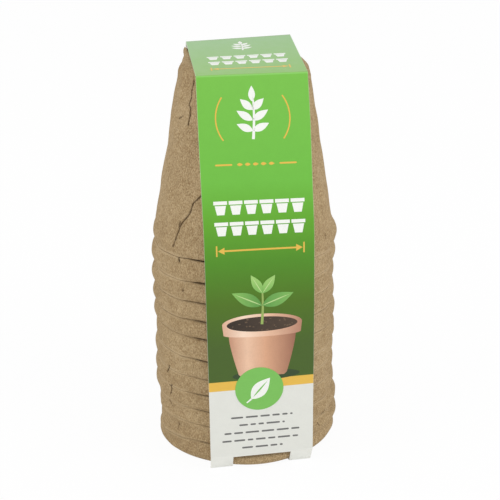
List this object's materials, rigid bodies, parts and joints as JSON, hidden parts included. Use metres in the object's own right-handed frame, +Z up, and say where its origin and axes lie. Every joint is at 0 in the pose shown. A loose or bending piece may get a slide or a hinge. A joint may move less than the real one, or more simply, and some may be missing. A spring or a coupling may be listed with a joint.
{
  "type": "peat pot",
  "caption": "Nested stack of round tapered fibre plant pots, bases up, held by a folded card sleeve that slides off sideways.",
  "frame": {"origin": "on the surface the stack stands on, at the middle of its footprint", "axes": "+Z up through the stack's middle, -Y out of the sleeve's printed front, X across the sleeve"},
  "size_m": [0.08, 0.0824, 0.173],
  "materials": {
    "fibre": "matt moulded fibre",
    "card": "smooth printed card, white inside"
  },
  "bodies": {
    "stack": {"pot_01": "fibre", "pot_02": "fibre", "pot_03": "fibre", "pot_04": "fibre", "pot_05": "fibre", "pot_06": "fibre", "pot_07": "fibre", "pot_08": "fibre", "pot_09": "fibre", "pot_10": "fibre", "pot_11": "fibre", "pot_12": "fibre"},
    "sleeve": {"card_sleeve": "card"}
  },
  "joints": [
    {"name": "sleeve_slide", "type": "slide", "parent": "stack", "child": "sleeve", "axis": [1, 0, 0], "range_m": [-0.068, 0.068]}
  ]
}
